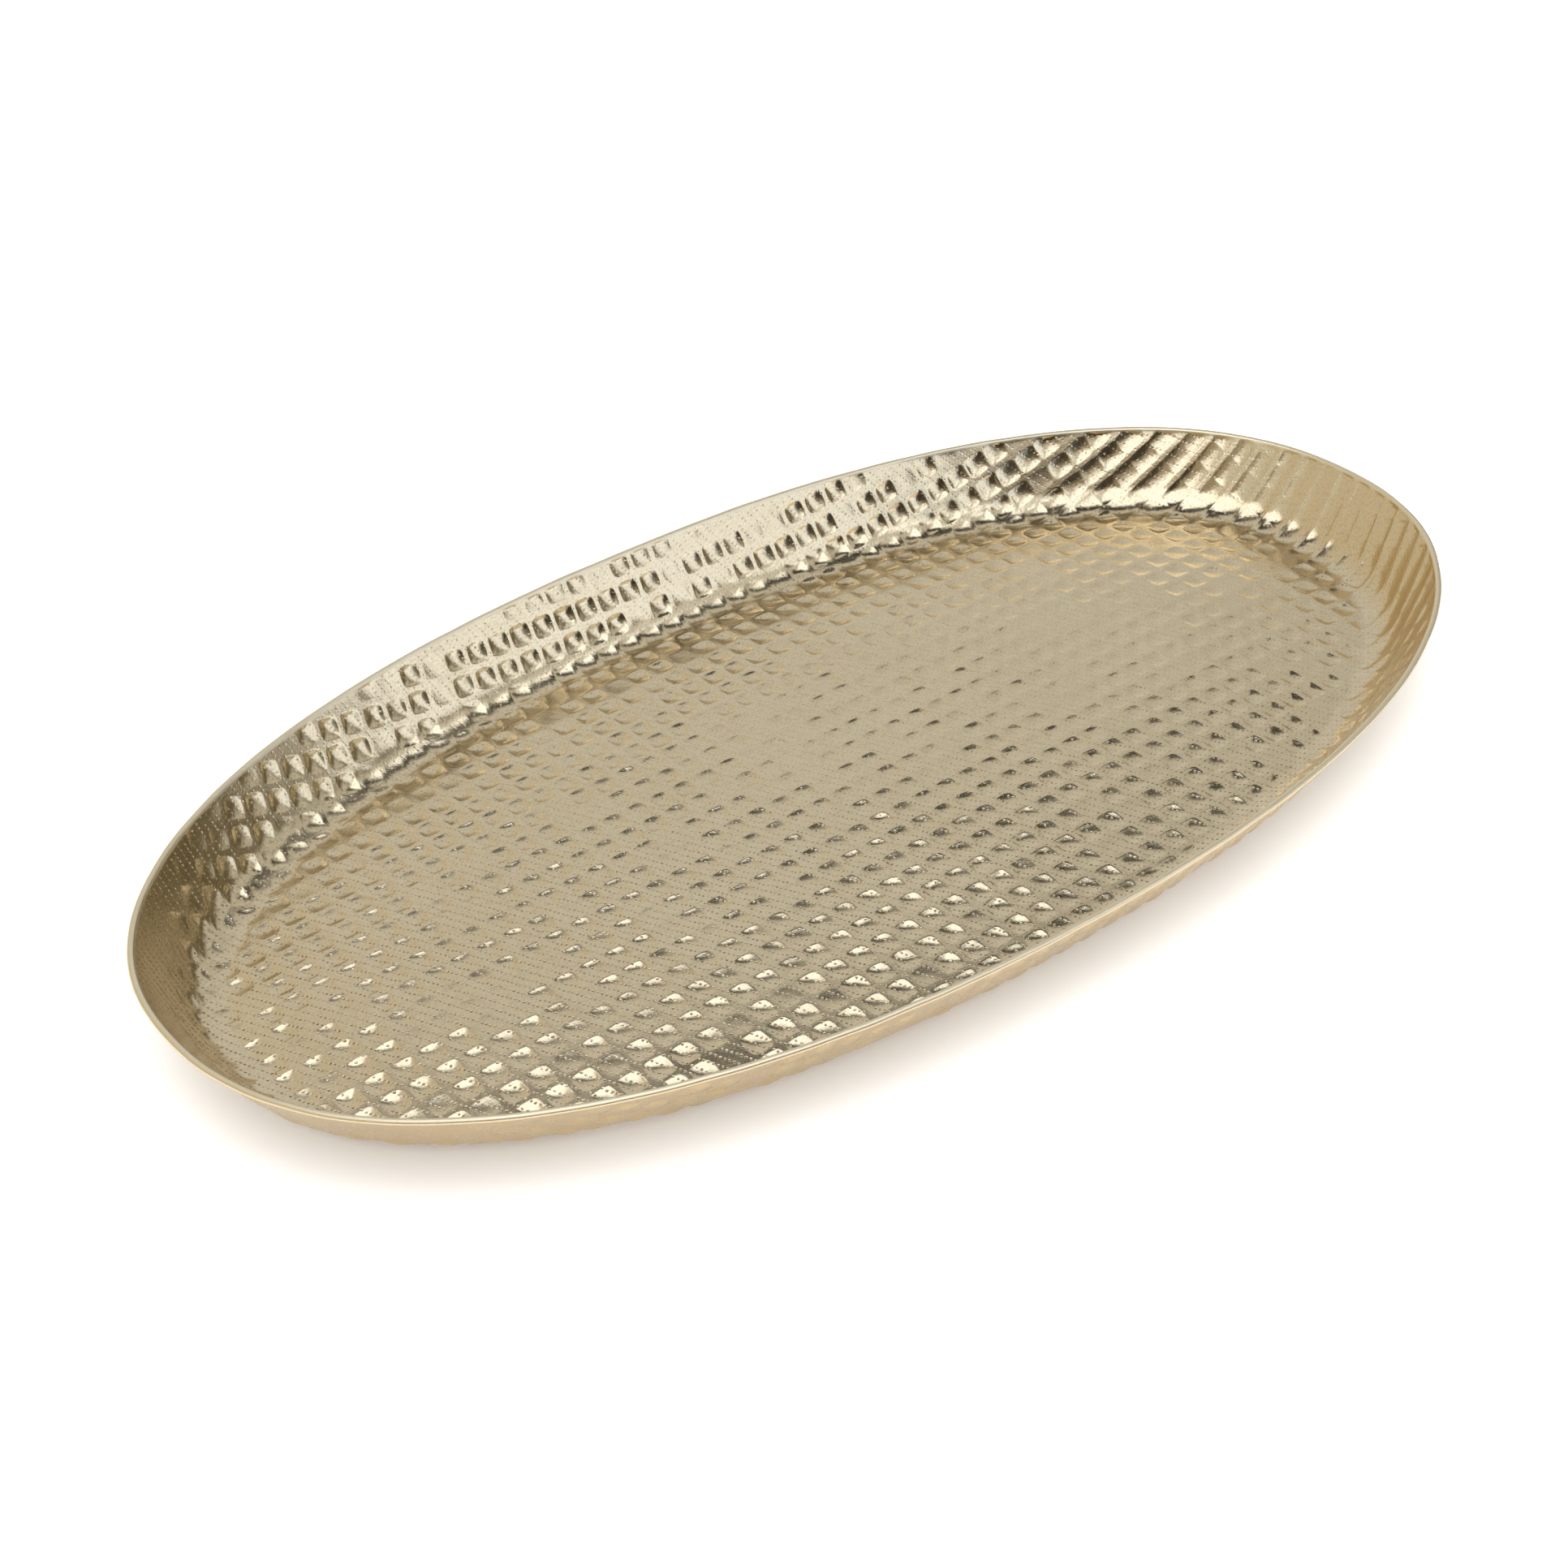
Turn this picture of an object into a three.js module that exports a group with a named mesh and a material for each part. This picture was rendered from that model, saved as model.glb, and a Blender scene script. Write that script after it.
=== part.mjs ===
// Oval serving tray pressed from one sheet of hammered brass, standing on four
// self-adhesive bumper pads.
// Units are millimetres, +Z up. The origin is on the table, under the middle of the tray.
// +X runs along the tray's length, +Y across it. The tray is symmetric about both.

import * as THREE from 'three';
import { mergeVertices } from 'three/addons/utils/BufferGeometryUtils.js';

// ---- driving dimensions -------------------------------------------------
const LENGTH = 400;          // over the lip, along X
const WIDTH = 215.4;         // over the lip, along Y
const OVAL_POWER = 2.212;    // 2 is an ellipse, more is squarer
const SHEET = 1.2;           // sheet thickness
const LIP = 1.45;            // width of the lip, seen from above
const WALL_ANGLE = 57.4;     // straight part of the wall, degrees above horizontal
const FLOOR_TOP = 5.8;       // top of the floor in the middle, above the table
const RIM_RISE = 18.4;       // lip's top above the middle of the floor
const CROWN = 2.3;           // the floor's middle stands this much above its edge
const CROWN_WIDTH = 54;      // the crown dies out this far in from the wall's foot
const BEND_RADIUS = 11.5;    // inside radius where the wall meets the floor
const PAD_RADIUS = 6.35;     // bumper pads: a common 12.7 mm size
const PAD_HEIGHT = 3.5;
const PAD_X = 98;
const PAD_Y = 42;
const AROUND = 88;           // facets round the outline

// ---- the oval outline ---------------------------------------------------
const A = LENGTH / 2, B = WIDTH / 2, N = OVAL_POWER;
function ovalPoint(t) {
  const c = Math.cos(t), s = Math.sin(t);
  return [A * Math.sign(c) * Math.abs(c) ** (2 / N), B * Math.sign(s) * Math.abs(s) ** (2 / N)];
}
// Points at equal steps along the outline, so that no facet is a sliver.
function evenOutline(count) {
  const fine = 7200, pts = [], run = [0];
  for (let i = 0; i <= fine; i++) pts.push(ovalPoint((2 * Math.PI * i) / fine));
  for (let i = 1; i <= fine; i++) {
    run.push(run[i - 1] + Math.hypot(pts[i][0] - pts[i - 1][0], pts[i][1] - pts[i - 1][1]));
  }
  const out = [];
  let k = 0;
  for (let i = 0; i < count; i++) {
    const want = (run[fine] * i) / count;
    while (run[k + 1] < want) k++;
    const f = (want - run[k]) / (run[k + 1] - run[k]);
    const x = pts[k][0] + f * (pts[k + 1][0] - pts[k][0]);
    const y = pts[k][1] + f * (pts[k + 1][1] - pts[k][1]);
    let nx = (Math.sign(x) * Math.abs(x / A) ** (N - 1)) / A;
    let ny = (Math.sign(y) * Math.abs(y / B) ** (N - 1)) / B;
    const l = Math.hypot(nx, ny);
    out.push({ x, y, nx: -nx / l, ny: -ny / l });      // normal points inwards
  }
  return out;
}
const outline = evenOutline(AROUND);

// ---- the sheet's section ------------------------------------------------
// Each point is [inset from the outline, height, share of the wall foot's outline].
// On the wall the share is 1 and the inset moves along the outline's normal.
// On the floor the inset stays at the foot's, and the share shrinks to 0 at the middle.
const th = THREE.MathUtils.degToRad(WALL_ANGLE);
const edgeZ = FLOOR_TOP - CROWN;                       // top of the floor at the wall's foot
const lipZ = FLOOR_TOP + RIM_RISE;
const straight = (lipZ - edgeZ - BEND_RADIUS * (1 - Math.cos(th))) / Math.sin(th);
const footInset = LIP + straight * Math.cos(th) + BEND_RADIUS * Math.sin(th);
const FLOOR_HALF = B - footInset;
const crownShares = [0.95, 0.84, 0.70, 0.55, 0.38];
function crownAt(share) {
  const u = (1 - share) * FLOOR_HALF;                  // distance in from the foot, on the short axis
  return u >= CROWN_WIDTH ? CROWN : CROWN * (1 - (1 - u / CROWN_WIDTH) ** 2);
}
const inner = [];                                      // from the middle out to the lip
inner.push([footInset, edgeZ + CROWN, 0]);
for (const s of [...crownShares].reverse()) inner.push([footInset, edgeZ + crownAt(s), s]);
const BEND_STEPS = 5;
for (let i = 0; i <= BEND_STEPS; i++) {
  const a = (th * i) / BEND_STEPS;
  inner.push([footInset - BEND_RADIUS * Math.sin(a), edgeZ + BEND_RADIUS * (1 - Math.cos(a)), 1]);
}
for (const f of [0.33, 0.66]) {
  inner.push([LIP + straight * Math.cos(th) * (1 - f), lipZ - straight * Math.sin(th) * (1 - f), 1]);
}
inner.push([LIP + 0.4, lipZ - 0.4 * Math.tan(th), 1]);
inner.push([LIP, lipZ - 0.25, 1]);
// over the lip
const lipTop = [[LIP - 0.35, lipZ, 1], [0.4, lipZ, 1], [0, lipZ - 0.35, 1], [0, lipZ - 0.9, 1]];
// the outer face lies one sheet thickness outside the inner face
const outer = [];
const nx = Math.sin(th), nz = Math.cos(th);
for (const f of [0.9, 0.6, 0.3]) {
  outer.push([LIP + straight * Math.cos(th) * (1 - f) - SHEET * nx, lipZ - straight * Math.sin(th) * (1 - f) - SHEET * nz, 1]);
}
for (let i = BEND_STEPS; i >= 0; i--) {
  const a = (th * i) / BEND_STEPS, R = BEND_RADIUS + SHEET;
  outer.push([footInset - R * Math.sin(a), edgeZ - SHEET + R * (1 - Math.cos(a)), 1]);
}
for (const s of crownShares) outer.push([footInset, edgeZ - SHEET + crownAt(s), s]);
outer.push([footInset, edgeZ + CROWN - SHEET, 0]);

const section = [...inner, ...lipTop, ...outer];
// the outer wall may not pass outside the lip's edge
for (const p of section) p[0] = Math.max(p[0], 0);

// ---- the pan ------------------------------------------------------------
// A lathe of the section round the Z axis, then its rings are laid on the oval.
function panGeometry() {
  const profile = section.map((p) => new THREE.Vector2(p[2] === 0 ? 0 : 1 + p[2], p[1]));
  const g = new THREE.LatheGeometry(profile, AROUND);
  const pos = g.attributes.position, rows = section.length;
  for (let i = 0; i <= AROUND; i++) {
    const o = outline[i % AROUND];
    for (let j = 0; j < rows; j++) {
      const [inset, z, share] = section[j];
      pos.setXYZ(i * rows + j, (o.x + o.nx * inset) * share, (o.y + o.ny * inset) * share, z);
    }
  }
  g.deleteAttribute('normal');
  g.deleteAttribute('uv');
  return closed(g);
}

// Merge the shared corners, drop triangles of no area, and turn the faces outwards.
function closed(geometry) {
  const g = mergeVertices(geometry, 1e-4);
  const idx = g.index.array, p = g.attributes.position, keep = [];
  let volume = 0;
  for (let i = 0; i < idx.length; i += 3) {
    const [a, b, c] = [idx[i], idx[i + 1], idx[i + 2]];
    if (a === b || b === c || c === a) continue;
    keep.push(a, b, c);
    const va = new THREE.Vector3().fromBufferAttribute(p, a);
    const vb = new THREE.Vector3().fromBufferAttribute(p, b);
    const vc = new THREE.Vector3().fromBufferAttribute(p, c);
    volume += va.dot(vb.cross(vc)) / 6;
  }
  if (volume < 0) for (let i = 0; i < keep.length; i += 3) [keep[i + 1], keep[i + 2]] = [keep[i + 2], keep[i + 1]];
  g.setIndex(keep);
  g.computeVertexNormals();
  return g;
}

// ---- the bumper pads ----------------------------------------------------
function padGeometry() {
  const r = PAD_RADIUS, h = PAD_HEIGHT;
  const profile = [[0, 0], [r - 2.0, 0], [r - 1.25, 0.25], [r - 0.6, 0.85], [r - 0.15, 1.9], [r, h - 0.25], [r - 0.2, h], [0, h]]
    .map(([x, y]) => new THREE.Vector2(x, y));
  const g = new THREE.LatheGeometry(profile, 28);
  g.rotateX(Math.PI / 2);                              // the lathe's own axis becomes +Z
  g.deleteAttribute('normal');
  g.deleteAttribute('uv');
  return closed(g);
}

// ---- assembly -----------------------------------------------------------
const brass = () => new THREE.MeshStandardMaterial({ color: new THREE.Color(0.78, 0.70, 0.50), roughness: 0.28, metalness: 1.0 });
const rubber = () => new THREE.MeshStandardMaterial({ color: new THREE.Color(0.16, 0.15, 0.14), roughness: 0.75, metalness: 0.0 });

const group = new THREE.Group();
const pan = new THREE.Mesh(panGeometry(), brass());
pan.name = 'tray_pan';
group.add(pan);

const pads = new THREE.Group();
for (const [name, sx, sy] of [['front_left', -1, -1], ['front_right', 1, -1], ['rear_left', -1, 1], ['rear_right', 1, 1]]) {
  const pad = new THREE.Mesh(padGeometry(), rubber());
  pad.name = `bumper_pad_${name}`;
  pad.position.set(sx * PAD_X, sy * PAD_Y, 0);
  pads.add(pad);
}
group.add(pads);

export default group;
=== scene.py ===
import math

import bpy
import numpy as np
from mathutils import Matrix, Vector
from mathutils.geometry import delaunay_2d_cdt


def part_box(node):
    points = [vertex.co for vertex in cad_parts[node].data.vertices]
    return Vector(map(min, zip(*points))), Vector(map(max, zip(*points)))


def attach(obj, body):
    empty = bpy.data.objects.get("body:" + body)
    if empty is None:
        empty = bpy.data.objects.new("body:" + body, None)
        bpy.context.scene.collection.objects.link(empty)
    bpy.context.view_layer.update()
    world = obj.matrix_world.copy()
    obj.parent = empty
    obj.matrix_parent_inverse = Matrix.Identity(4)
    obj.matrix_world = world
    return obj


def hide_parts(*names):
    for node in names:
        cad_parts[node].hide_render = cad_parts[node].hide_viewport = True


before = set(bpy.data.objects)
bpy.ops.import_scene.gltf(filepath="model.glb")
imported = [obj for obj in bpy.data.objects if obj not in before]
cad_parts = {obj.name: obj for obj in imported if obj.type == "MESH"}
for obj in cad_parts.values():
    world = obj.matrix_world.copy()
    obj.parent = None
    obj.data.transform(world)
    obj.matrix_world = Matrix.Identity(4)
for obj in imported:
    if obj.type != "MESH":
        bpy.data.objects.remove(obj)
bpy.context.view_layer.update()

MM = 0.001
scene = bpy.context.scene

# --------------------------------------------------------------------------
# The sheet's shape, in millimetres in the CAD frame. The outline and the lip's
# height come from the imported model.
# --------------------------------------------------------------------------
pan_lo, pan_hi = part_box("tray_pan")
A = (pan_hi.x - pan_lo.x) / 2 / MM
B = (pan_hi.y - pan_lo.y) / 2 / MM
LIP_Z = pan_hi.z / MM
OVAL = 2.212                    # the outline's power: 2 is an ellipse
SHEET = 1.2                     # sheet thickness
LIP = 1.45                      # the lip's width
WALL = math.radians(57.4)       # straight part of the wall
BEND = 11.5                     # inside radius of the bend at the wall's foot
RISE = 18.4                     # lip above the floor's middle
CROWN = 2.3                     # floor's middle above its edge
CROWN_W = 54.0
FLOOR_Z = LIP_Z - RISE          # top of the floor in the middle
EDGE_Z = FLOOR_Z - CROWN        # top of the floor at the wall's foot
STRAIGHT = (LIP_Z - EDGE_Z - BEND * (1 - math.cos(WALL))) / math.sin(WALL)
FOOT = LIP + STRAIGHT * math.cos(WALL) + BEND * math.sin(WALL)   # inset of the wall's foot
S_WALL = STRAIGHT + BEND * WALL                                  # the section's length, foot to lip
STRETCH = 1.022                 # how much the pressing stretched the wall

# The hammering: a square grid of rounded square dimples in the flat sheet.
PITCH_X, PITCH = 7.75, 7.689    # along X and along Y
PHASE_X, PHASE_Y = -0.25, 0.18  # where the flat webs lie, in pitches
DEPTH = 0.62                    # of a full dimple
SKEW = 0.005                    # the grid's columns lean this much
HALF = 0.44                     # half the dimple's width, in pitches

rng = np.random.RandomState(4117)


def outline_table(count=1440):
    """One quadrant of the lip's outline at even steps: points, inward normals, run length."""
    t = np.linspace(0, math.pi / 2, 20001)
    x, y = A * np.cos(t) ** (2 / OVAL), B * np.sin(t) ** (2 / OVAL)
    x[-1] = 0.0
    run = np.r_[0, np.cumsum(np.hypot(np.diff(x), np.diff(y)))]
    s = np.linspace(0, run[-1], count + 1)
    qx, qy = np.interp(s, run, x), np.interp(s, run, y)
    nx, ny = (qx / A) ** (OVAL - 1) / A, (qy / B) ** (OVAL - 1) / B
    l = np.hypot(nx, ny)
    return s, qx, qy, -nx / l, -ny / l


O_S, O_X, O_Y, O_NX, O_NY = outline_table()


def nearest(bx, by):
    """For points of the flat sheet: the nearest lip point, its inward normal, and how far inside it they lie."""
    px, py = np.abs(bx), np.abs(by)
    s = np.empty_like(px)
    cx, cy = O_X[::2], O_Y[::2]
    for i in range(0, len(px), 20000):
        d = (px[i:i + 20000, None] - cx) ** 2 + (py[i:i + 20000, None] - cy) ** 2
        s[i:i + 20000] = O_S[::2][d.argmin(1)]
    for _ in range(3):
        qx, qy = np.interp(s, O_S, O_X), np.interp(s, O_S, O_Y)
        nx, ny = np.interp(s, O_S, O_NX), np.interp(s, O_S, O_NY)
        l = np.hypot(nx, ny)
        nx, ny = nx / l, ny / l
        along = (px - qx) * ny - (py - qy) * nx          # the tangent is (ny, -nx)
        inward = (px - qx) * nx + (py - qy) * ny
        step = np.clip(along, -1.5, 1.5) * np.where(inward > 20, 0.6, 1.0)
        # the run grows from +X towards +Y, which is along (ny, -nx) reversed where needed
        sign = np.where(ny * -1 + 0 * nx > 0, 1.0, 1.0)
        tx, ty = ny, -nx
        gx = np.interp(s + 0.2, O_S, O_X) - np.interp(s - 0.2, O_S, O_X)
        gy = np.interp(s + 0.2, O_S, O_Y) - np.interp(s - 0.2, O_S, O_Y)
        sign = np.where(tx * gx + ty * gy >= 0, 1.0, -1.0)
        s = np.clip(s + sign * step, 0, O_S[-1])
    qx, qy = np.interp(s, O_S, O_X), np.interp(s, O_S, O_Y)
    nx, ny = np.interp(s, O_S, O_NX), np.interp(s, O_S, O_NY)
    l = np.hypot(nx, ny)
    nx, ny = nx / l, ny / l
    inside = (px - qx) * nx + (py - qy) * ny
    sx, sy = np.where(bx < 0, -1.0, 1.0), np.where(by < 0, -1.0, 1.0)
    return qx * sx, qy * sy, nx * sx, ny * sy, inside


def waves(seed, shortest, longest, count=14):
    """A smooth, seeded, random field of about unit size."""
    r = np.random.RandomState(seed)
    k = 2 * math.pi / np.exp(r.uniform(math.log(shortest), math.log(longest), count))
    a = r.uniform(0, 2 * math.pi, count)
    ph = r.uniform(0, 2 * math.pi, count)

    def field(x, y):
        out = np.zeros_like(x, dtype=float)
        for i in range(count):
            out += np.sin(k[i] * (math.cos(a[i]) * x + math.sin(a[i]) * y) + ph[i])
        return out / math.sqrt(count / 2)
    return field


warp = waves(11, 22.0, 75.0)        # slow unevenness of the pressed sheet
press = waves(23, 45.0, 130.0)      # how hard the hammering struck, area by area


def shape(bx, by):
    """Flat sheet to tray: the inner face's point and its normal, before hammering."""
    qx, qy, nx, ny, inside = nearest(bx, by)
    up = np.maximum(FOOT - inside, 0) * STRETCH          # length up the wall from its foot
    a = np.minimum(up / BEND, WALL)
    u = np.maximum(up - BEND * WALL, 0)
    inset = FOOT - BEND * np.sin(a) - u * math.cos(WALL)
    z = EDGE_Z + BEND * (1 - np.cos(a)) + u * math.sin(WALL)
    fl = np.maximum(inside - FOOT, 0)
    c = np.clip(1 - fl / CROWN_W, 0, 1)
    wall = inside < FOOT
    x = np.where(wall, qx + nx * inset, bx)
    y = np.where(wall, qy + ny * inset, by)
    z = np.where(wall, z, EDGE_Z + CROWN * (1 - c * c))
    tilt = np.where(wall, a, -np.arctan(2 * CROWN / CROWN_W * c))   # up the wall, down off the crown
    # ease the crown's slope into the bend
    k = np.clip(fl / 5.0, 0, 1)
    tilt = np.where(wall, a, tilt * k)
    n = np.stack([nx * np.sin(tilt), ny * np.sin(tilt), np.cos(tilt)], 1)
    return np.stack([x, y, z], 1), n, up, inside


# One set of numbers for each dimple, the same on both faces of the sheet.
CELLS_X, CELLS_Y = 64, 40
cell_amp = rng.uniform(0.82, 1.08, (CELLS_X, CELLS_Y))
weak = rng.uniform(size=(CELLS_X, CELLS_Y))
weak_amp = rng.uniform(0.06, 0.42, (CELLS_X, CELLS_Y))
cell_tx = rng.uniform(-1, 1, (CELLS_X, CELLS_Y))
cell_ty = rng.uniform(-1, 1, (CELLS_X, CELLS_Y))
cell_hw = rng.uniform(0.96, 1.03, (CELLS_X, CELLS_Y))
cell_rnd = rng.uniform(2.8, 4.4, (CELLS_X, CELLS_Y))
ci, cj = np.meshgrid(np.arange(CELLS_X), np.arange(CELLS_Y), indexing="ij")
cell_y = (cj - CELLS_Y // 2 + PHASE_Y + 0.5) * PITCH
cell_x = (ci - CELLS_X // 2 + PHASE_X + 0.5) * PITCH_X + SKEW * cell_y
_, _, cell_nx, _, cell_in = nearest(cell_x.ravel(), cell_y.ravel())
cell_nx, cell_in = cell_nx.reshape(cell_x.shape), cell_in.reshape(cell_x.shape)
cell_from_lip = cell_in - (FOOT - S_WALL / STRETCH)
hard = press(cell_x, cell_y)

# the floor was struck more lightly in its middle and most lightly to the right
on_floor = np.clip((cell_in - FOOT) / 12.0, 0, 1)
light = (0.22 * np.exp(-(((cell_x / PITCH + 1.0) / 5.0) ** 2 + ((cell_y / PITCH - 3.0) / 4.0) ** 2))
         + 0.24 * np.clip((cell_x / PITCH - 1.0) / 8.0, 0, 1)
         * np.clip((cell_y / PITCH + 7.0) / 4.0, 0, 1) * np.clip((8.0 - cell_y / PITCH) / 4.0, 0, 1)
         + 0.16 * np.clip((-cell_x / PITCH - 7.0) / 8.0, 0, 1)
         + 0.20 * np.exp(-(((cell_x / PITCH - 13.5) / 4.5) ** 2 + ((cell_y / PITCH - 0.5) / 4.5) ** 2))) * on_floor
chance = np.clip(0.10 + 0.08 * np.clip(-hard - 0.2, 0, 2) + 0.30 * light, 0.05, 0.4)
cell_amp = np.where(weak < chance, weak_amp, cell_amp) * np.clip(1.0 + 0.07 * hard, 0.8, 1.1) * (1 - light)
# pressing the end walls drew the dimples up into shallow flutes, and all but
# ironed them out at the top of the left one; the bend is drawn a little too
end = np.clip((np.abs(cell_nx) - 0.30) / 0.40, 0, 1) * np.clip((FOOT + 3.0 - cell_in) / 7.0, 0, 1)
row_amp = 0.62 + 0.16 * np.sin(2.1 * np.arange(CELLS_Y))[None, :]
cell_amp = cell_amp * (1 - 0.75 * end) + row_amp * 0.75 * end
cell_run = 1 - 0.50 * end * (cell_x > 0)
lip_d = cell_from_lip / PITCH + 0.35 * end * (cell_x > 0)
cell_amp *= np.clip((lip_d - 0.10) / 0.48, 0, 1)
cell_amp *= 1 - end * (cell_x < 0) * (1 - np.clip((cell_from_lip / PITCH - 1.2) / 1.0, 0, 1))
cell_amp *= 1 - 0.38 * np.exp(-((cell_in - (FOOT - 3.0)) / 4.5) ** 2)


# A full dimple's section, from its middle (0) to the web round it (1): a bowl
# that keeps steepening outwards and turns over sharply into the flat web.
PROF_Q = np.linspace(0, 1, 501)
_e = np.clip((PROF_Q - 0.84) / 0.16, 0, 1)
_slope = PROF_Q ** 1.1 * (1 - _e * _e * (3 - 2 * _e))
PROF_W = 1 - np.r_[0, np.cumsum((_slope[1:] + _slope[:-1]) / 2)]
PROF_W = (PROF_W - PROF_W[-1]) / (1 - PROF_W[-1])


def dimple(bx, by):
    """Depth of the hammering at points of the flat sheet."""
    gx, gy = (bx - SKEW * by) / PITCH_X - PHASE_X, by / PITCH - PHASE_Y
    i, j = np.floor(gx + 1e-9).astype(int), np.floor(gy + 1e-9).astype(int)
    u, v = gx - i - 0.5, gy - j - 0.5
    i, j = i + CELLS_X // 2, j + CELLS_Y // 2
    hw = HALF * cell_hw[i, j]
    m = cell_rnd[i, j]
    run = cell_run[i, j]
    q = (np.abs(u * run / hw) ** m + np.abs(v / hw) ** m) ** (1 / m)
    # the struck punch leaves its deepest point a little off the middle
    du, dv = u - 0.07 * cell_tx[i, j] * (1 - np.minimum(q, 1)), v - 0.07 * cell_ty[i, j] * (1 - np.minimum(q, 1))
    q = (np.abs(du * run / hw) ** m + np.abs(dv / hw) ** m) ** (1 / m)
    q = np.clip(q, 0, 1)
    w = np.interp(q, PROF_Q, PROF_W)
    lean = 1 + 0.16 * run * (cell_tx[i, j] * u + cell_ty[i, j] * v) / hw
    return DEPTH * cell_amp[i, j] * w * lean


def face_mesh(steps, outer, ring_in):
    """One face of the sheet. Returns its vertices, triangles and quads, sheet coordinates, and the ring where it meets the lip."""
    steps = np.array(steps)
    nx_cells = np.arange(-31, 31)
    ny_cells = np.arange(-19, 19)
    gx = ((nx_cells[:, None] + PHASE_X + steps).ravel()) * PITCH_X
    gy = ((ny_cells[:, None] + PHASE_Y + steps).ravel()) * PITCH
    X, Y = np.meshgrid(gx, gy, indexing="ij")
    X = X + SKEW * Y
    _, _, _, _, inside = nearest(X.ravel(), Y.ravel())
    edge = FOOT - (S_WALL - ring_in) / STRETCH           # the ring's inset in the flat sheet
    ok = (inside > edge + 0.35).reshape(X.shape)
    quad = ok[:-1, :-1] & ok[1:, :-1] & ok[1:, 1:] & ok[:-1, 1:]
    used = np.zeros_like(ok)
    for a in (0, 1):
        for b in (0, 1):
            used[a:a + quad.shape[0], b:b + quad.shape[1]] |= quad
    number = np.full(X.shape, -1)
    number[used] = np.arange(used.sum())
    qi, qj = np.nonzero(quad)
    quads = np.stack([number[qi, qj], number[qi + 1, qj], number[qi + 1, qj + 1], number[qi, qj + 1]], 1)
    bx, by = X[used], Y[used]
    # the staircase edge of the grid
    pad = np.zeros((quad.shape[0] + 2, quad.shape[1] + 2), bool)
    pad[1:-1, 1:-1] = quad
    edges = []
    di = pad[1:, 1:-1] != pad[:-1, 1:-1]                 # edges along Y
    for i, j in zip(*np.nonzero(di)):
        edges.append((number[i, j], number[i, j + 1]))
    dj = pad[1:-1, 1:] != pad[1:-1, :-1]                 # edges along X
    for i, j in zip(*np.nonzero(dj)):
        edges.append((number[i, j], number[i + 1, j]))
    edges = np.array(edges)
    rim = np.unique(edges)
    # the ring, in the flat sheet
    ring_x = RING_QX + RING_NX * edge
    ring_y = RING_QY + RING_NY * edge
    n0, count = len(bx), len(ring_x)
    local = {int(v): k for k, v in enumerate(rim)}
    pts = [Vector((bx[v], by[v])) for v in rim] + [Vector((ring_x[k], ring_y[k])) for k in range(count)]
    e2 = [(local[int(a)], local[int(b)]) for a, b in edges]
    e2 += [(len(rim) + k, len(rim) + (k + 1) % count) for k in range(count)]
    vo, _, fo, orig, _, _ = delaunay_2d_cdt(pts, e2, [], 1, 1e-5, True)
    back = {}
    for k, src in enumerate(orig):
        s = src[0]
        back[k] = int(rim[s]) if s < len(rim) else n0 + s - len(rim)
    vo = np.array([(v.x, v.y) for v in vo])
    tris = []
    for f in fo:
        c = vo[list(f)].mean(0)
        i, j = np.searchsorted(gx, c[0] - SKEW * c[1]) - 1, np.searchsorted(gy, c[1]) - 1
        if 0 <= i < quad.shape[0] and 0 <= j < quad.shape[1] and quad[i, j]:
            continue
        if any(k not in back for k in f):
            continue
        tris.append([back[k] for k in f])
    bx, by = np.r_[bx, ring_x], np.r_[by, ring_y]
    P, N, up, inside = shape(bx, by)
    h = dimple(bx, by)
    # the pressed sheet is a little uneven
    lip_fade = np.clip((S_WALL - up) / 6.0, 0, 1)
    soft = 0.045 * warp(bx, by) * lip_fade
    if outer:
        P = P - N * (SHEET + 0.92 * h - soft)[:, None]
    else:
        P = P - N * (h - soft)[:, None]
    uv = np.stack([bx, by], 1) / PITCH
    return P, quads, np.array(tris), uv, np.arange(n0, n0 + count)


RING = 1240
k = np.arange(RING)
# even steps round the whole outline, built from the quadrant's table
total = 4 * O_S[-1]
run = total * k / RING
quadrant = (run // O_S[-1]).astype(int)
rest = run - quadrant * O_S[-1]
flip = quadrant % 2 == 1
s_q = np.where(flip, O_S[-1] - rest, rest)
RING_QX, RING_QY = np.interp(s_q, O_S, O_X), np.interp(s_q, O_S, O_Y)
RING_NX, RING_NY = np.interp(s_q, O_S, O_NX), np.interp(s_q, O_S, O_NY)
l = np.hypot(RING_NX, RING_NY)
RING_NX, RING_NY = RING_NX / l, RING_NY / l
sx = np.where((quadrant == 1) | (quadrant == 2), -1.0, 1.0)
sy = np.where(quadrant >= 2, -1.0, 1.0)
RING_QX, RING_NX = RING_QX * sx, RING_NX * sx
RING_QY, RING_NY = RING_QY * sy, RING_NY * sy

IN_STEPS = [0.0, 0.06, 0.09, 0.12, 0.155, 0.23, 0.35, 0.5, 0.65, 0.77, 0.845, 0.88, 0.91, 0.94]
OUT_STEPS = [0.0, 0.065, 0.11, 0.18, 0.32, 0.5, 0.68, 0.82, 0.89, 0.935]
RING_IN, RING_OUT = 1.25, 1.7     # how far down the section the lip's rings start

Pi, Qi, Ti, UVi, Ri = face_mesh(IN_STEPS, False, RING_IN)
Po, Qo, To, UVo, Ro = face_mesh(OUT_STEPS, True, RING_OUT)

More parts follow.
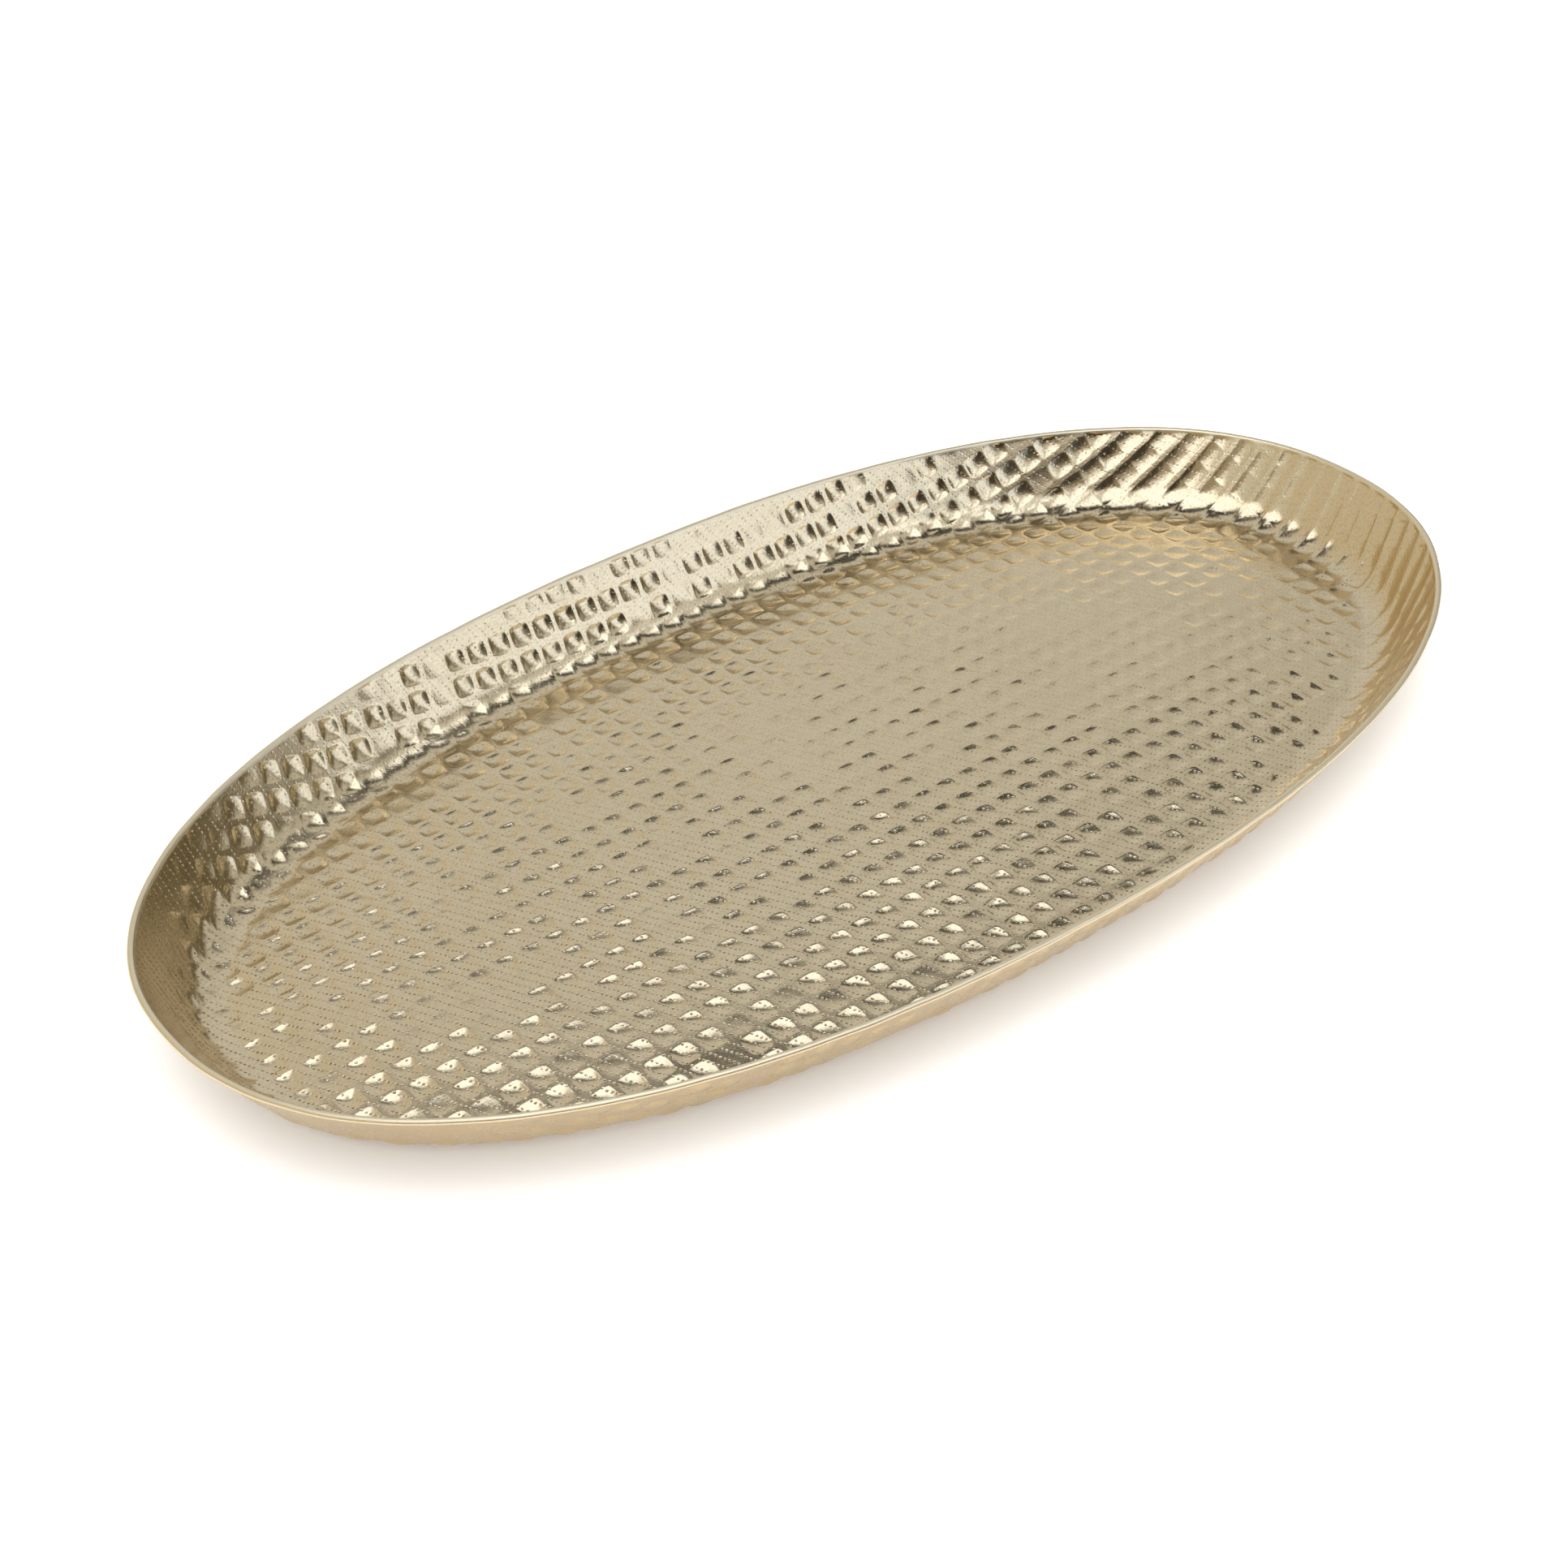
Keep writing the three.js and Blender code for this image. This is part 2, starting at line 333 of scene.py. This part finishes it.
# The lip: a dressed, slightly rounded bead from the inner ring over to the outer one.
bead = [(1.93, -0.72), (1.80, -0.42), (1.60, -0.17), (1.28, -0.03), (0.90, 0.0), (0.52, -0.05),
        (0.22, -0.22), (0.04, -0.50), (0.02, -0.86), (0.22, -1.18), (0.55, -1.46), (0.90, -1.72)]
wob_r = waves(31, 14.0, 70.0)
wob_z = waves(37, 18.0, 90.0)
rings, ring_uv = [], []
for n, (inset, dz) in enumerate(bead):
    fade = 1.0 if 1 <= n <= 9 else 0.4
    inset_k = inset + 0.05 * fade * (1 + wob_r(RING_QX, RING_QY)) * (1 if inset < 1 else 0.5)
    dz_k = dz - 0.04 * fade * (1 + wob_z(RING_QX, RING_QY))
    rings.append(np.stack([RING_QX + RING_NX * inset_k, RING_QY + RING_NY * inset_k, LIP_Z + np.minimum(dz_k, 0)], 1))
    f = FOOT - S_WALL / STRETCH - 0.3 * n
    ring_uv.append(np.stack([RING_QX + RING_NX * f, RING_QY + RING_NY * f], 1) / PITCH)

verts = np.concatenate([Pi, Po] + rings) * MM
uvs = np.concatenate([UVi, UVo] + ring_uv)
off_o, off_r = len(Pi), len(Pi) + len(Po)
chain = [Ri] + [off_r + n * RING + np.arange(RING) for n in range(len(bead))] + [Ro + off_o]
faces = [tuple(q) for q in Qi] + [tuple(t) for t in Ti]
n_inner = len(faces)
faces += [tuple(q[::-1] + off_o) for q in Qo] + [tuple(t[::-1] + off_o) for t in To]
n_outer = len(faces)
for a, b in zip(chain[:-1], chain[1:]):
    for k in range(RING):
        k2 = (k + 1) % RING
        faces.append((int(a[k]), int(b[k]), int(b[k2]), int(a[k2])))

mesh = bpy.data.meshes.new("hammered_tray")
mesh.from_pydata([tuple(v) for v in verts], [], [tuple(int(i) for i in f) for f in faces])
mesh.update()
import bmesh
bm = bmesh.new()
bm.from_mesh(mesh)
bmesh.ops.recalc_face_normals(bm, faces=bm.faces)
if bm.calc_volume(signed=True) < 0:
    bmesh.ops.reverse_faces(bm, faces=bm.faces)
open_edges = sum(1 for e in bm.edges if len(e.link_faces) != 2)
print("tray: verts", len(bm.verts), "faces", len(bm.faces), "open edges", open_edges, "volume mm3", bm.calc_volume() * 1e9)
bm.to_mesh(mesh)
bm.free()
mesh.polygons.foreach_set("use_smooth", np.ones(len(mesh.polygons), bool))
loop_v = np.zeros(len(mesh.loops), np.int32)
mesh.loops.foreach_get("vertex_index", loop_v)
uvl = mesh.uv_layers.new(name="sheet")
uvl.data.foreach_set("uv", uvs[loop_v].astype(np.float32).ravel())
# which face of the sheet a point is on: 0 inside, 1 outside, with the lip between
side = np.zeros(len(verts), np.float32)
side[off_o:off_r] = 1.0
for n in range(len(bead)):
    side[off_r + n * RING: off_r + (n + 1) * RING] = np.clip((n - 3) / 6.0, 0, 1)
mesh.attributes.new("outside", "FLOAT", "POINT").data.foreach_set("value", side)
lip_m = np.zeros(len(verts), np.float32)
for n in range(len(bead)):
    lip_m[off_r + n * RING: off_r + (n + 1) * RING] = 1.0
mesh.attributes.new("lip", "FLOAT", "POINT").data.foreach_set("value", lip_m)
tray = bpy.data.objects.new("hammered_tray_sheet", mesh)
scene.collection.objects.link(tray)


# --------------------------------------------------------------------------
# Materials
# --------------------------------------------------------------------------
class Nodes:
    """A short way to write a node tree."""

    def __init__(self, mat):
        mat.use_nodes = True
        self.t = mat.node_tree
        self.t.nodes.clear()

    def new(self, kind, **props):
        n = self.t.nodes.new(kind)
        for k, v in props.items():
            setattr(n, k, v)
        return n

    def put(self, socket, value):
        if isinstance(value, bpy.types.NodeSocket):
            self.t.links.new(value, socket)
        else:
            socket.default_value = value

    def math(self, op, a, b=None, c=None, clamp=False):
        n = self.new("ShaderNodeMath", operation=op, use_clamp=clamp)
        for s, v in zip(n.inputs, (a, b, c)):
            if v is not None:
                self.put(s, v)
        return n.outputs[0]

    def ramp(self, value, lo, hi, to_lo=0.0, to_hi=1.0, smooth=True):
        n = self.new("ShaderNodeMapRange", interpolation_type="SMOOTHSTEP" if smooth else "LINEAR")
        self.put(n.inputs["Value"], value)
        n.inputs["From Min"].default_value, n.inputs["From Max"].default_value = lo, hi
        n.inputs["To Min"].default_value, n.inputs["To Max"].default_value = to_lo, to_hi
        return n.outputs["Result"]

    def noise(self, vec, scale, detail=3.0, rough=0.55, dims="3D"):
        n = self.new("ShaderNodeTexNoise", noise_dimensions=dims)
        self.put(n.inputs["Vector"], vec)
        n.inputs["Scale"].default_value = scale
        n.inputs["Detail"].default_value = detail
        n.inputs["Roughness"].default_value = rough
        return n.outputs["Fac"]

    def mix(self, fac, a, b):
        n = self.new("ShaderNodeMix", data_type="RGBA")
        self.put(n.inputs[0], fac)
        self.put(n.inputs[6], a)
        self.put(n.inputs[7], b)
        return n.outputs[2]

    def attr(self, name):
        return self.new("ShaderNodeAttribute", attribute_name=name, attribute_type="GEOMETRY").outputs["Fac"]


PIT_STEP, PIT_ROWS = 0.163, 0.336      # along a row of pits, and from row to row, in pitches


def brass():
    mat = bpy.data.materials.new("hammered_brass")
    g = Nodes(mat)
    uv = g.new("ShaderNodeUVMap", uv_map="sheet").outputs["UV"]
    obj = g.new("ShaderNodeTexCoord").outputs["Object"]
    outside = g.attr("outside")
    lip = g.attr("lip")
    # fine pits punched over the whole sheet, in rows that run across the grid
    jit = g.new("ShaderNodeTexNoise", noise_dimensions="2D")
    g.put(jit.inputs["Vector"], uv)
    jit.inputs["Scale"].default_value = 4.0
    jit.inputs["Detail"].default_value = 1.0
    off = g.new("ShaderNodeVectorMath", operation="SUBTRACT")
    g.put(off.inputs[0], jit.outputs["Color"])
    off.inputs[1].default_value = (0.5, 0.5, 0.5)
    sc = g.new("ShaderNodeVectorMath", operation="SCALE")
    g.put(sc.inputs[0], off.outputs[0])
    sc.inputs["Scale"].default_value = 0.06
    ad = g.new("ShaderNodeVectorMath", operation="ADD")
    g.put(ad.inputs[0], uv)
    g.put(ad.inputs[1], sc.outputs[0])
    sep = g.new("ShaderNodeSeparateXYZ")
    g.put(sep.inputs[0], ad.outputs[0])
    u, v = sep.outputs[0], sep.outputs[1]

    root5 = math.sqrt(5)
    along = g.math("DIVIDE", g.math("SUBTRACT", u, g.math("MULTIPLY", v, 2.0)), root5)
    across = g.math("DIVIDE", g.math("ADD", g.math("MULTIPLY", u, 2.0), v), root5)
    line = g.math("ADD", g.math("DIVIDE", across, PIT_ROWS), 500.0)
    row = g.math("FLOOR", line)
    fy = g.math("SUBTRACT", g.math("SUBTRACT", line, row), 0.5)
    fx = g.math("SUBTRACT", g.math("FRACT", g.math("ADD", g.math("DIVIDE", along, PIT_STEP),
                                                   g.math("ADD", g.math("MULTIPLY", row, 0.56), 500.0))), 0.5)
    dx, dy = g.math("MULTIPLY", fx, PIT_STEP), g.math("MULTIPLY", fy, PIT_ROWS)
    r = g.math("SQRT", g.math("ADD", g.math("MULTIPLY", dx, dx), g.math("MULTIPLY", dy, dy)))
    pit = g.ramp(r, 0.012, 0.060, 1.0, 0.0)
    # the dark core of each pit is painted shade, standing in for the shade inside the pit's steep walls
    pit_shade_paint = g.ramp(r, 0.026, 0.056, 1.0, 0.0)
    some = g.ramp(g.noise(uv, 2.1, 2.0, 0.6, "2D"), 0.30, 0.60, 0.45, 1.0)
    place = g.new("ShaderNodeSeparateXYZ")
    g.put(place.inputs[0], uv)
    lean = g.math("ADD", g.math("MULTIPLY", place.outputs[0], 0.45), place.outputs[1])
    some = g.math("MULTIPLY", some, g.ramp(lean, -12.0, 4.0, 1.0, 0.24))
    some = g.math("MULTIPLY", some, g.ramp(g.noise(uv, 7.5, 1.0, 0.5, "2D"), 0.36, 0.60, 0.32, 1.0))
    pit = g.math("MULTIPLY", pit, some)
    pit = g.math("MULTIPLY", pit, g.math("SUBTRACT", 1.0, g.math("MULTIPLY", outside, 0.8)))
    # on the walls the pits are open and bright, and their cores get less of the painted shade
    high = g.new("ShaderNodeSeparateXYZ")
    g.put(high.inputs[0], obj)
    pit_shade_paint = g.math("MULTIPLY", pit_shade_paint, g.ramp(high.outputs[2], 0.0095, 0.0135, 1.0, 0.22))
    pit = g.math("MULTIPLY", pit, g.ramp(high.outputs[2], 0.0095, 0.0135, 1.0, 1.5))
    pit_shade_paint = g.math("MULTIPLY", pit_shade_paint, g.math("SUBTRACT", 1.0, outside))
    pit_shade_paint = g.math("MULTIPLY", g.math("MULTIPLY", pit_shade_paint, some), g.math("SUBTRACT", 1.0, lip))
    pit = g.math("MULTIPLY", pit, g.math("SUBTRACT", 1.0, lip))
    # hand-struck unevenness and the sheet's grain
    ripple = g.noise(obj, 620.0, 2.0, 0.5)
    grain = g.noise(obj, 2600.0, 3.0, 0.6)
    tarnish = g.noise(obj, 22.0, 4.0, 0.6)
    mott = g.noise(obj, 150.0, 3.0, 0.6)
    height = g.math("ADD", g.math("MULTIPLY", pit, -0.120),
                    g.math("ADD", g.math("MULTIPLY", ripple, 0.024), g.math("MULTIPLY", grain, 0.0170)))
    bump = g.new("ShaderNodeBump")
    bump.inputs["Strength"].default_value = 1.0
    bump.inputs["Distance"].default_value = 0.001
    g.put(bump.inputs["Height"], height)
    inner = g.mix(g.ramp(tarnish, 0.35, 0.7), (0.77, 0.65, 0.45, 1), (0.75, 0.625, 0.42, 1))
    inner = g.mix(g.math("MULTIPLY", g.ramp(mott, 0.5, 0.75), 0.35), inner, (0.71, 0.575, 0.37, 1))
    fleck = g.noise(obj, 1500.0, 2.0, 0.6)
    inner = g.mix(g.math("MULTIPLY", g.ramp(fleck, 0.50, 0.66), 0.42), inner, (0.58, 0.455, 0.285, 1))
    inner = g.mix(g.math("MULTIPLY", g.ramp(fleck, 0.48, 0.36), 0.30), inner, (0.84, 0.74, 0.56, 1))
    # the outer face: a darker, more saturated gold than the inner face, partly its own tone and partly painted shade
    # standing in for the shadowed floor it reflects
    outer = g.mix(g.ramp(tarnish, 0.35, 0.7), (0.63, 0.49, 0.285, 1), (0.59, 0.45, 0.25, 1))
    col = g.mix(outside, inner, outer)
    # painted shade: the pits' cores are darkened to dark brown
    col = g.mix(g.math("MULTIPLY", pit_shade_paint, 0.85), col, (0.24, 0.13, 0.06, 1))
    # painted highlight: the top and inner side of the lip are lightened to cream
    col = g.mix(g.math("MULTIPLY", lip, g.math("SUBTRACT", 1.0, outside)), col, (0.86, 0.76, 0.56, 1))
    bs = g.new("ShaderNodeBsdfPrincipled")
    g.put(bs.inputs["Base Color"], col)
    bs.inputs["Metallic"].default_value = 1.0
    rough = g.math("ADD", 0.15, g.math("MULTIPLY", g.ramp(mott, 0.3, 0.8), 0.07))
    rough = g.math("ADD", rough, g.math("MULTIPLY", outside, 0.10))
    rough = g.math("ADD", rough, g.math("MULTIPLY", lip, 0.16))
    g.put(bs.inputs["Roughness"], rough)
    g.put(bs.inputs["Normal"], bump.outputs[0])
    out = g.new("ShaderNodeOutputMaterial")
    g.put(out.inputs[0], bs.outputs[0])
    return mat


def rubber():
    mat = bpy.data.materials.new("pad_rubber")
    g = Nodes(mat)
    obj = g.new("ShaderNodeTexCoord").outputs["Object"]
    fine = g.noise(obj, 3500.0, 3.0, 0.6)
    broad = g.noise(obj, 260.0, 3.0, 0.6)
    col = g.mix(g.ramp(broad, 0.35, 0.7), (0.030, 0.028, 0.026, 1), (0.055, 0.050, 0.045, 1))
    col = g.mix(g.math("MULTIPLY", g.ramp(fine, 0.55, 0.8), 0.4), col, (0.10, 0.095, 0.09, 1))
    bump = g.new("ShaderNodeBump")
    bump.inputs["Distance"].default_value = 0.001
    bump.inputs["Strength"].default_value = 0.6
    g.put(bump.inputs["Height"], g.math("MULTIPLY", fine, 0.05))
    bs = g.new("ShaderNodeBsdfPrincipled")
    g.put(bs.inputs["Base Color"], col)
    g.put(bs.inputs["Roughness"], g.ramp(broad, 0.3, 0.7, 0.55, 0.75))
    g.put(bs.inputs["Normal"], bump.outputs[0])
    out = g.new("ShaderNodeOutputMaterial")
    g.put(out.inputs[0], bs.outputs[0])
    return mat


BRASS, RUBBER = brass(), rubber()
mesh.materials.append(BRASS)
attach(tray, "root")
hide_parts("tray_pan")

# --------------------------------------------------------------------------
# The bumper pads: turned profile with a soft shoulder, a moulded dish in the
# foot, and a top that lies on the underside of the floor.
# --------------------------------------------------------------------------
def under_z(x, y):
    P, N, up, inside = shape(np.array([x]), np.array([y]))
    return float(P[0, 2]) - SHEET


def pad_mesh(name, node):
    lo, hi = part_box(node)
    cx, cy = (lo.x + hi.x) / 2 / MM, (lo.y + hi.y) / 2 / MM
    r, h = (hi.x - lo.x) / 2 / MM, (hi.z - lo.z) / MM
    prof = [(0.0, 0.22), (r - 3.6, 0.22), (r - 3.1, 0.16), (r - 2.7, 0.02), (r - 2.45, 0.0), (r - 2.0, 0.02), (r - 1.55, 0.12),
            (r - 1.1, 0.36), (r - 0.7, 0.75), (r - 0.38, 1.25), (r - 0.14, 1.85), (r - 0.02, 2.5), (r, h - 0.42),
            (r - 0.04, h - 0.2), (r - 0.16, h - 0.07), (r - 0.35, h), (0.0, h)]
    seg = 72
    vs, fs = [], []
    vs.append((cx, cy, prof[0][1]))
    for pr, pz in prof[1:-1]:
        for s in range(seg):
            a = 2 * math.pi * s / seg
            wob = 1 + 0.004 * math.sin(3 * a + cx) + 0.003 * math.sin(7 * a + cy)
            x, y = cx + pr * wob * math.cos(a), cy + pr * wob * math.sin(a)
            z = pz
            if pz > 2.9:   # the adhesive face squashes up against the sheet
                gap = max(0.0, under_z(x, y) - 0.06 - h)
                z = pz + min(gap, 0.45) * (pz - 2.9) / (h - 2.9)
            vs.append((x, y, z))
    vs.append((cx, cy, h + min(max(0.0, under_z(cx, cy) - 0.06 - h), 0.45)))
    rows = len(prof) - 2
    for s in range(seg):
        s2 = (s + 1) % seg
        fs.append((0, 1 + s2, 1 + s))
        for q in range(rows - 1):
            a, b = 1 + q * seg, 1 + (q + 1) * seg
            fs.append((a + s, a + s2, b + s2, b + s))
        a = 1 + (rows - 1) * seg
        fs.append((a + s, a + s2, len(vs) - 1))
    me = bpy.data.meshes.new(name)
    me.from_pydata([(x * MM, y * MM, z * MM) for x, y, z in vs], [], fs)
    me.update()
    b = bmesh.new()
    b.from_mesh(me)
    bmesh.ops.recalc_face_normals(b, faces=b.faces)
    b.to_mesh(me)
    b.free()
    me.polygons.foreach_set("use_smooth", np.ones(len(me.polygons), bool))
    me.materials.append(RUBBER)
    ob = bpy.data.objects.new(name, me)
    scene.collection.objects.link(ob)
    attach(ob, "root")
    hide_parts(node)
    return ob


for node in sorted(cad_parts):
    if node.startswith("bumper_pad_"):
        pad_mesh(node.replace("bumper_pad", "soft_pad"), node)

# --------------------------------------------------------------------------
# Stage: pale floor, soft studio light, camera
# --------------------------------------------------------------------------
def floor():
    n, size = 40, 6.0
    me = bpy.data.meshes.new("floor")
    vs = [(-size / 2 + size * i / n, -size / 2 + size * j / n, 0.0) for i in range(n + 1) for j in range(n + 1)]
    fs = [(i * (n + 1) + j, (i + 1) * (n + 1) + j, (i + 1) * (n + 1) + j + 1, i * (n + 1) + j + 1) for i in range(n) for j in range(n)]
    me.from_pydata(vs, [], fs)
    mat = bpy.data.materials.new("pale_floor")
    g = Nodes(mat)
    obj = g.new("ShaderNodeTexCoord").outputs["Object"]
    f = g.noise(obj, 6.0, 3.0, 0.5)
    col = g.mix(f, (0.90, 0.90, 0.90, 1), (0.93, 0.93, 0.93, 1))
    bs = g.new("ShaderNodeBsdfPrincipled")
    g.put(bs.inputs["Base Color"], col)
    bs.inputs["Roughness"].default_value = 0.9
    bs.inputs["Specular IOR Level"].default_value = 0.0
    bs.inputs["Emission Color"].default_value = (1, 1, 1, 1)
    bs.inputs["Emission Strength"].default_value = 0.28
    out = g.new("ShaderNodeOutputMaterial")
    g.put(out.inputs[0], bs.outputs[0])
    me.materials.append(mat)
    ob = bpy.data.objects.new("floor", me)
    scene.collection.objects.link(ob)
    return ob


floor()


def area(name, at, look, size, radiance, colour=(1, 1, 1)):
    """A soft box seen at the given radiance, whatever its size."""
    data = bpy.data.lights.new(name, "AREA")
    data.shape = "RECTANGLE"
    data.size, data.size_y = size
    data.energy = radiance * math.pi * size[0] * size[1]
    data.color = colour
    ob = bpy.data.objects.new(name, data)
    scene.collection.objects.link(ob)
    at, look = Vector(at), Vector(look)
    z = (at - look).normalized()
    x = Vector((0, 0, 1)).cross(z)
    if x.length < 1e-3:
        x = Vector((0.62, 0.785, 0.0)).cross(Vector((0, 0, 1)))
    x.normalize()
    y = z.cross(x)
    ob.matrix_world = Matrix(((x.x, y.x, z.x, at.x), (x.y, y.y, z.y, at.y), (x.z, y.z, z.z, at.z), (0, 0, 0, 1)))
    return ob


AZ = math.radians(-36.7375)
EL = math.radians(36.0711)
ROLL = math.radians(-2.5017)
CAM = Vector((-46.742, -59.3638, 54.4826)) * PITCH * MM + Vector((0, 0, FLOOR_Z * MM))
toward = Vector((0.619, 0.786, 0.0))          # from the camera's side to the far side
side_v = Vector((0.786, -0.619, 0.0))         # to the camera's right

world = bpy.data.worlds.new("studio")
scene.world = world
world.use_nodes = True
w = Nodes(world)
ray = w.new("ShaderNodeTexCoord").outputs["Generated"]


def dot(v):
    n = w.new("ShaderNodeVectorMath", operation="DOT_PRODUCT")
    w.put(n.inputs[0], ray)
    n.inputs[1].default_value = tuple(v)
    return n.outputs["Value"]


def compass(az, el):
    """A direction by its compass angle from straight ahead of the camera, positive to the right, and its height."""
    az, el = math.radians(az), math.radians(el)
    return (toward * math.cos(az) + side_v * math.sin(az)) * math.cos(el) + Vector((0, 0, math.sin(el)))


def card(under, colour, az, el, half_w, half_h, soft):
    """A far-off soft rectangle of light or shade, laid over what is under it."""
    c = compass(az, el)
    u = compass(az + 90, 0)
    v = c.cross(u) * -1
    front = dot(c)
    near = w.math("MAXIMUM", front, 0.02)
    masks = []
    for axis, half in ((u, half_w), (v, half_h)):
        p = w.math("ARCTAN2", w.math("ABSOLUTE", dot(axis)), near)
        masks.append(w.ramp(p, math.radians(half - soft), math.radians(half + soft), 1.0, 0.0))
    m = w.math("MULTIPLY", w.math("MULTIPLY", masks[0], masks[1]), w.math("GREATER_THAN", front, 0.02))
    return w.mix(m, under, tuple(colour) + (1.0,))


side_on = w.ramp(dot(side_v), -0.75, 0.05, 0.0, 1.0)
sky = w.mix(side_on, (0.66, 0.605, 0.49, 1), (0.675, 0.685, 0.68, 1))      # the studio's walls: left, far side
sky = card(sky, (0.60, 0.60, 0.575), 45, 33, 30, 20, 9)                    # far right, a little dimmer
sky = card(sky, (0.70, 0.69, 0.62), -132, 34, 19, 14, 6)                  # camera's left
sky = card(sky, (0.13, 0.108, 0.062), 58, 1, 42, 18, 6)                   # low shade, right
sky = card(sky, (0.16, 0.135, 0.09), 112, 26, 26, 20, 5)                  # round the right-hand box
sky = card(sky, (0.37, 0.32, 0.235), 178, 19, 34, 20, 4)                  # behind the camera
sky = card(sky, (0.04, 0.034, 0.025), 155, 6, 26, 25, 4)                  # the dark gap beside it
bg = w.new("ShaderNodeBackground")
w.put(bg.inputs[0], sky)
bg.inputs[1].default_value = 1.0
wo = w.new("ShaderNodeOutputWorld")
w.put(wo.inputs[0], bg.outputs[0])
world.cycles_visibility.diffuse = False


def box_light(name, centre, normal, across, size, radiance):
    """A soft box at a place, facing along its normal, its width along `across`; seen in reflections only."""
    data = bpy.data.lights.new(name, "AREA")
    data.shape = "RECTANGLE"
    data.size, data.size_y = size
    top = max(radiance)
    data.energy = top * math.pi * size[0] * size[1]
    data.color = tuple(c / top for c in radiance)
    ob = bpy.data.objects.new(name, data)
    scene.collection.objects.link(ob)
    z = -Vector(normal).normalized()
    x = Vector(across).normalized()
    y = z.cross(x).normalized()
    c = Vector(centre)
    ob.matrix_world = Matrix(((x.x, y.x, z.x, c.x), (x.y, y.y, z.y, c.y), (x.z, y.z, z.z, c.z), (0, 0, 0, 1)))
    ob.visible_diffuse = False
    return ob


# overhead box: from just above the camera to a little beyond the tray
OVER_Z, FAR, NEAR, LEFT, RIGHT = 0.486, 0.180, -0.455, -0.26, 0.225
box_light("overhead_box", toward * (FAR + NEAR) / 2 + side_v * (LEFT + RIGHT) / 2 + Vector((0, 0, OVER_Z)), (0, 0, -1), side_v,
          (RIGHT - LEFT, FAR - NEAR), (0.88, 0.96, 1.12))


def flag(name, t0, t1_left, t1_right, s0, s1, z, radiance):
    """A dark studio flag, level and wider to the right, seen in reflections only."""
    me = bpy.data.meshes.new(name)
    me.from_pydata([tuple(toward * t + side_v * sd + Vector((0, 0, z))) for t, sd in ((t0, s0), (t0, s1), (t1_right, s1), (t1_left, s0))],
                   [], [(0, 1, 2, 3)])
    mat = bpy.data.materials.new(name)
    g = Nodes(mat)
    em = g.new("ShaderNodeEmission")
    em.inputs["Color"].default_value = tuple(radiance) + (1.0,)
    out = g.new("ShaderNodeOutputMaterial")
    g.put(out.inputs[0], em.outputs[0])
    me.materials.append(mat)
    ob = bpy.data.objects.new(name, me)
    scene.collection.objects.link(ob)
    ob.visible_camera = ob.visible_diffuse = ob.visible_shadow = ob.visible_transmission = False


# the dark gap between the overhead box and the far wall
flag("far_flag", FAR, FAR + 0.06, FAR + 0.23, LEFT - 0.04, RIGHT + 0.10, OVER_Z, (0.04, 0.034, 0.024))
# right-hand box, standing in front of the tray and to the right
R_A, R_B = Vector((0.150, -0.430, 0)), Vector((0.325, -0.265, 0))
r_mid = (R_A + R_B) / 2
r_in = (Vector((0, 0.10, 0)) - r_mid).normalized()
box_light("right_box", r_mid + Vector((0, 0, 0.325)), r_in, R_B - R_A, ((R_B - R_A).length, 0.57), (0.97, 1.08, 1.27))

mid = Vector((0, 0, 0))
fill = area("floor_fill", Vector((0, 0, 2.2)), mid, (5.0, 5.0), 2.3)
fill.visible_glossy = False

cam_data = bpy.data.cameras.new("camera")
cam_data.sensor_width = 36.0
cam_data.sensor_fit = "HORIZONTAL"
cam_data.lens = 3249.285 / 1932 * 36.0
cam_data.clip_start, cam_data.clip_end = 0.01, 20
cam = bpy.data.objects.new("camera", cam_data)
scene.collection.objects.link(cam)
back = Vector((math.sin(AZ) * math.cos(EL), -math.cos(AZ) * math.cos(EL), math.sin(EL)))
right = Vector((math.cos(AZ), math.sin(AZ), 0))
up = back.cross(right)
r2 = right * math.cos(ROLL) + up * math.sin(ROLL)
u2 = -right * math.sin(ROLL) + up * math.cos(ROLL)
cam.matrix_world = Matrix(((r2.x, u2.x, back.x, CAM.x), (r2.y, u2.y, back.y, CAM.y), (r2.z, u2.z, back.z, CAM.z), (0, 0, 0, 1)))
scene.camera = cam
scene.view_settings.view_transform = "Standard"
scene.view_settings.look = "None"
scene.view_settings.exposure = 0.0
scene.view_settings.gamma = 1.0
